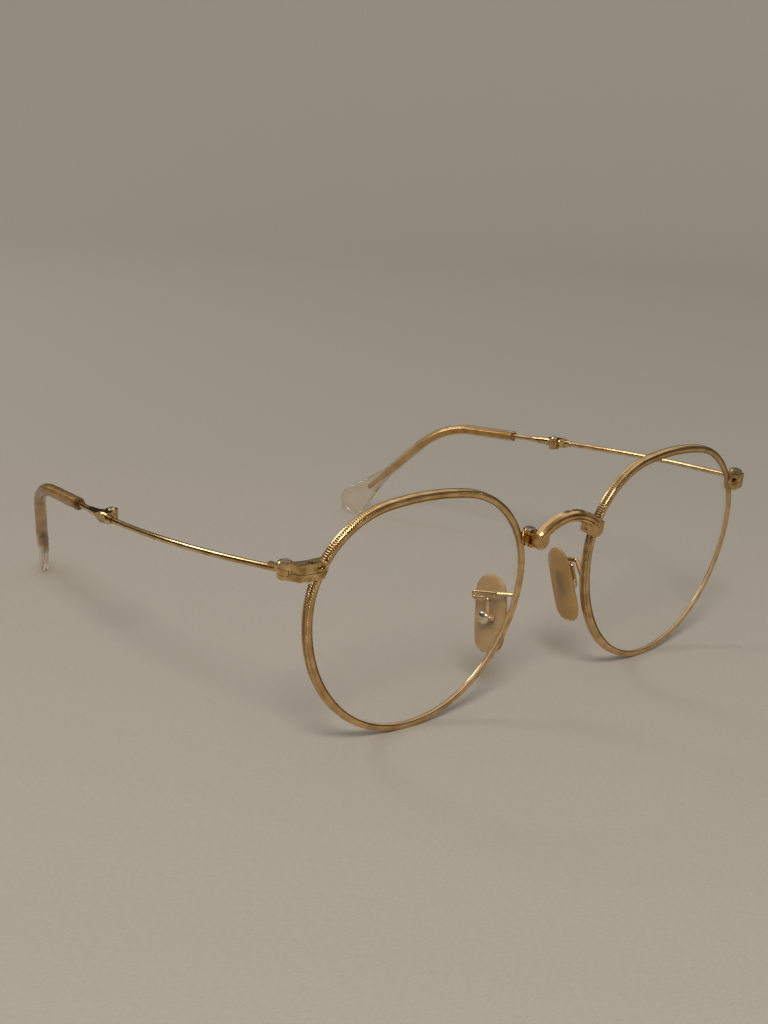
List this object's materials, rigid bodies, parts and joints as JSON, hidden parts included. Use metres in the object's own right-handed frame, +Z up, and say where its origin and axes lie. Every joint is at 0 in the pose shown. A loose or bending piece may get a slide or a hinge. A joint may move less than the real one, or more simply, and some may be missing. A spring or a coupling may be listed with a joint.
{
  "type": "folding eyeglasses",
  "caption": "Gold wire-rimmed folding eyeglasses: hinged arched bridge, clear lenses, rocking nose pads, and temples that fold at the front and half way along.",
  "frame": {"origin": "middle of the bottom of the part's box, on the surface it stands on", "axes": "+X to the wearer's left, +Y from the lenses back along the temples, +Z up"},
  "size_m": [0.1382, 0.1294, 0.0481],
  "materials": {
    "gold": "polished gold-tone metal",
    "screw": "bright polished screws",
    "lens": "clear",
    "sleeve": "translucent amber brown",
    "pad": "translucent tan",
    "insert": "dull metal seen through the pad"
  },
  "bodies": {
    "bridge_body": {"bridge": "gold", "bridge_screw_right": "screw", "bridge_screw_left": "screw"},
    "front_body_right": {"rim_right": "gold", "lens_right": "lens", "bridge_knuckle_right": "gold", "closing_block_upper_right": "gold", "closing_block_lower_right": "gold", "closing_screw_right": "screw", "temple_hinge_screw_right": "screw", "pad_arm_right": "gold", "pad_box_right": "gold", "pad_screw_right": "screw"},
    "front_body_left": {"rim_left": "gold", "lens_left": "lens", "bridge_knuckle_left": "gold", "closing_block_upper_left": "gold", "closing_block_lower_left": "gold", "closing_screw_left": "screw", "temple_hinge_screw_left": "screw", "pad_arm_left": "gold", "pad_box_left": "gold", "pad_screw_left": "screw"},
    "nose_pad_body_right": {"nose_pad_right": "pad", "pad_insert_right": "insert"},
    "nose_pad_body_left": {"nose_pad_left": "pad", "pad_insert_left": "insert"},
    "temple_front_body_right": {"temple_knuckle_right": "gold", "temple_front_right": "gold", "mid_hinge_front_leaf_right": "gold", "mid_hinge_pin_right": "screw"},
    "temple_front_body_left": {"temple_knuckle_left": "gold", "temple_front_left": "gold", "mid_hinge_front_leaf_left": "gold", "mid_hinge_pin_left": "screw"},
    "temple_rear_body_right": {"mid_hinge_rear_leaf_right": "gold", "temple_rear_right": "gold", "temple_tip_right": "sleeve"},
    "temple_rear_body_left": {"mid_hinge_rear_leaf_left": "gold", "temple_rear_left": "gold", "temple_tip_left": "sleeve"}
  },
  "joints": [
    {"name": "bridge_fold_right", "type": "hinge", "parent": "bridge_body", "child": "front_body_right", "pos_m": [-0.00873, -0.06092, 0.03537], "axis": [0, -0.131, 0.9914], "range_deg": [-90, 0]},
    {"name": "bridge_fold_left", "type": "hinge", "parent": "bridge_body", "child": "front_body_left", "pos_m": [0.00873, -0.06092, 0.03537], "axis": [0, -0.131, 0.9914], "range_deg": [0, 90]},
    {"name": "temple_fold_right", "type": "hinge", "parent": "front_body_right", "child": "temple_front_body_right", "pos_m": [-0.06465, -0.05579, 0.0367], "axis": [0, -0.0633, 0.998], "range_deg": [-82, 0]},
    {"name": "temple_fold_left", "type": "hinge", "parent": "front_body_left", "child": "temple_front_body_left", "pos_m": [0.06465, -0.05579, 0.0367], "axis": [0, -0.0633, 0.998], "range_deg": [0, 82]},
    {"name": "mid_fold_right", "type": "hinge", "parent": "temple_front_body_right", "child": "temple_rear_body_right", "pos_m": [-0.06552, 0.00115, 0.03201], "axis": [0, -0.0819, -0.9966], "range_deg": [0, 125]},
    {"name": "mid_fold_left", "type": "hinge", "parent": "temple_front_body_left", "child": "temple_rear_body_left", "pos_m": [0.06552, 0.00115, 0.03201], "axis": [0, -0.0819, -0.9966], "range_deg": [-125, 0]},
    {"name": "nose_pad_rock_right", "type": "hinge", "parent": "front_body_right", "child": "nose_pad_body_right", "pos_m": [-0.01294, -0.05459, 0.01765], "axis": [-0.1879, 0.9748, -0.1199], "range_deg": [-6, 6]},
    {"name": "nose_pad_rock_left", "type": "hinge", "parent": "front_body_left", "child": "nose_pad_body_left", "pos_m": [0.01234, -0.05424, 0.01976], "axis": [0.2173, 0.9584, -0.185], "range_deg": [-6, 6]}
  ]
}
